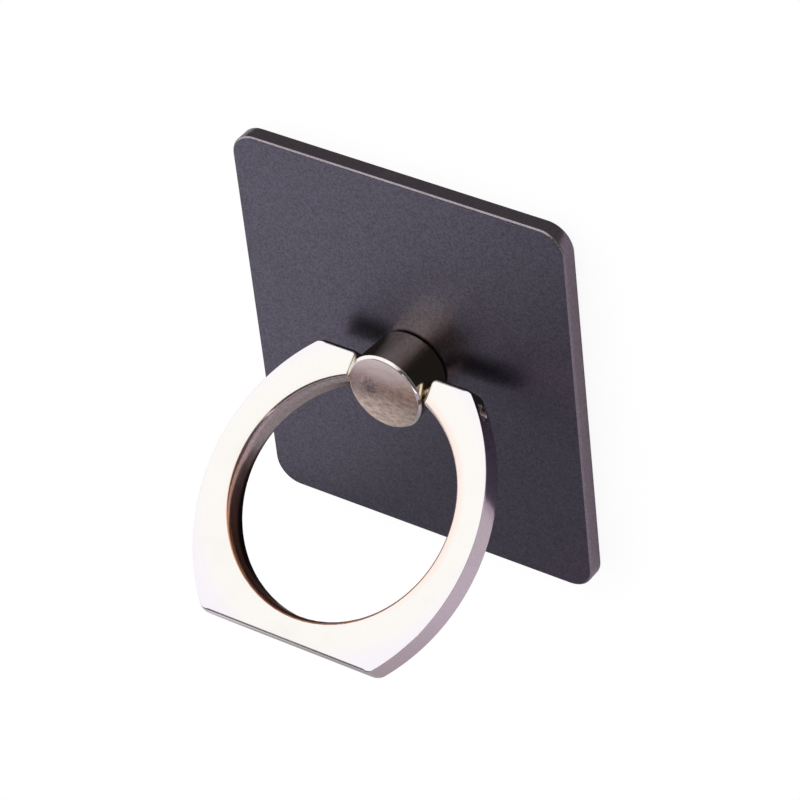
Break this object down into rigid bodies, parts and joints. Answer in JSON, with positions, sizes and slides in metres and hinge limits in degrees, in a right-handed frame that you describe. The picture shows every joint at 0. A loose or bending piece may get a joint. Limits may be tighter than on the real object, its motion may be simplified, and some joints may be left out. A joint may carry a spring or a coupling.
{
  "type": "phone ring holder",
  "caption": "Flat rounded plate with an adhesive back, a short swivel post and a C-shaped finger ring with a flat foot that flips on a hinge pin.",
  "frame": {"origin": "centre of the adhesive face that sticks to the phone", "axes": "+Z out of the phone towards the ring, X along the hinge pin, the ring leaning towards -Y"},
  "size_m": [0.035, 0.04, 0.0255],
  "materials": {
    "plate": "satin gunmetal",
    "ring": "polished nickel",
    "post": "polished side, satin end face",
    "pin": "ground steel",
    "friction": "spring steel",
    "pad": "acrylic foam"
  },
  "bodies": {
    "base": {"base_plate": "plate", "adhesive_pad": "pad"},
    "swivel": {"swivel_post": "post", "disc_spring": "friction", "retaining_washer": "friction"},
    "ring": {"finger_ring": "ring", "hinge_pin": "pin"}
  },
  "joints": [
    {"name": "post_swivel", "type": "hinge", "parent": "base", "child": "swivel", "pos_m": [0, 0, 0.0025], "axis": [0, 0, 1], "continuous": true},
    {"name": "ring_flip", "type": "hinge", "parent": "swivel", "child": "ring", "pos_m": [0, 0, 0.00535], "axis": [-1, 0, 0], "range_deg": [-50.5, 129.5]}
  ]
}
